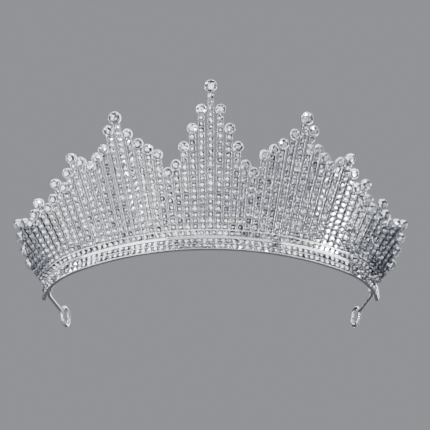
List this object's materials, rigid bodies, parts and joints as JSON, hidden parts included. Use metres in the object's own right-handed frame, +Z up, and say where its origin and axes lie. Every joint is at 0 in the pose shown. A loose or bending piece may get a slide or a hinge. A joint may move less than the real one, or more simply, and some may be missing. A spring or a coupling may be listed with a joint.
{
  "type": "bridal tiara",
  "caption": "Curved tiara: a crystal-set band, a comb of leaning crystal bars with round crystal tips that rise in spires, and a wire loop at each end.",
  "frame": {"origin": "middle of the band's lower edge at the front, halfway through its wall, on the plane that the band stands on", "axes": "+Z up from the band's lower edge, -Y towards the viewer in front, +X to the viewer's right, arms of the band running back along +Y"},
  "size_m": [0.16, 0.1041, 0.0529],
  "materials": {
    "tip_crystal": "faceted clear crystal with foiled back",
    "pave_crystal": "small faceted clear crystal",
    "cup_metal": "polished rhodium plate",
    "bar_metal": "cast, tumbled and rhodium plated",
    "band_metal": "cast, tumbled and rhodium plated",
    "polished_metal": "mirror polished rhodium plate",
    "wire_metal": "drawn wire, rhodium plated",
    "clip_metal": "polished rhodium plate"
  },
  "bodies": {
    "root": {"band_backing": "band_metal", "band_stones_lower": "pave_crystal", "band_stones_upper": "pave_crystal", "centre_spire_bar_stones": "pave_crystal", "centre_spire_bars": "bar_metal", "centre_spire_cup_stones": "tip_crystal", "centre_spire_cups": "cup_metal", "comb_rail": "band_metal", "comb_rail_stones": "pave_crystal", "end_spire_left_bar_stones": "pave_crystal", "end_spire_left_bars": "bar_metal", "end_spire_left_cup_stones": "tip_crystal", "end_spire_left_cups": "cup_metal", "end_spire_right_bar_stones": "pave_crystal", "end_spire_right_bars": "bar_metal", "end_spire_right_cup_stones": "tip_crystal", "end_spire_right_cups": "cup_metal", "fifth_spire_left_bar_stones": "pave_crystal", "fifth_spire_left_bars": "bar_metal", "fifth_spire_left_cup_stones": "tip_crystal", "fifth_spire_left_cups": "cup_metal", "fifth_spire_right_bar_stones": "pave_crystal", "fifth_spire_right_bars": "bar_metal", "fifth_spire_right_cup_stones": "tip_crystal", "fifth_spire_right_cups": "cup_metal", "fourth_spire_left_bar_stones": "pave_crystal", "fourth_spire_left_bars": "bar_metal", "fourth_spire_left_cup_stones": "tip_crystal", "fourth_spire_left_cups": "cup_metal", "fourth_spire_right_bar_stones": "pave_crystal", "fourth_spire_right_bars": "bar_metal", "fourth_spire_right_cup_stones": "tip_crystal", "fourth_spire_right_cups": "cup_metal", "left_loop": "wire_metal", "left_loop_clips": "clip_metal", "right_loop": "wire_metal", "right_loop_clips": "clip_metal", "seam_rail": "polished_metal", "second_spire_left_bar_stones": "pave_crystal", "second_spire_left_bars": "bar_metal", "second_spire_left_cup_stones": "tip_crystal", "second_spire_left_cups": "cup_metal", "second_spire_right_bar_stones": "pave_crystal", "second_spire_right_bars": "bar_metal", "second_spire_right_cup_stones": "tip_crystal", "second_spire_right_cups": "cup_metal", "third_spire_left_bar_stones": "pave_crystal", "third_spire_left_bars": "bar_metal", "third_spire_left_cup_stones": "tip_crystal", "third_spire_left_cups": "cup_metal", "third_spire_right_bar_stones": "pave_crystal", "third_spire_right_bars": "bar_metal", "third_spire_right_cup_stones": "tip_crystal", "third_spire_right_cups": "cup_metal"}
  },
  "joints": []
}
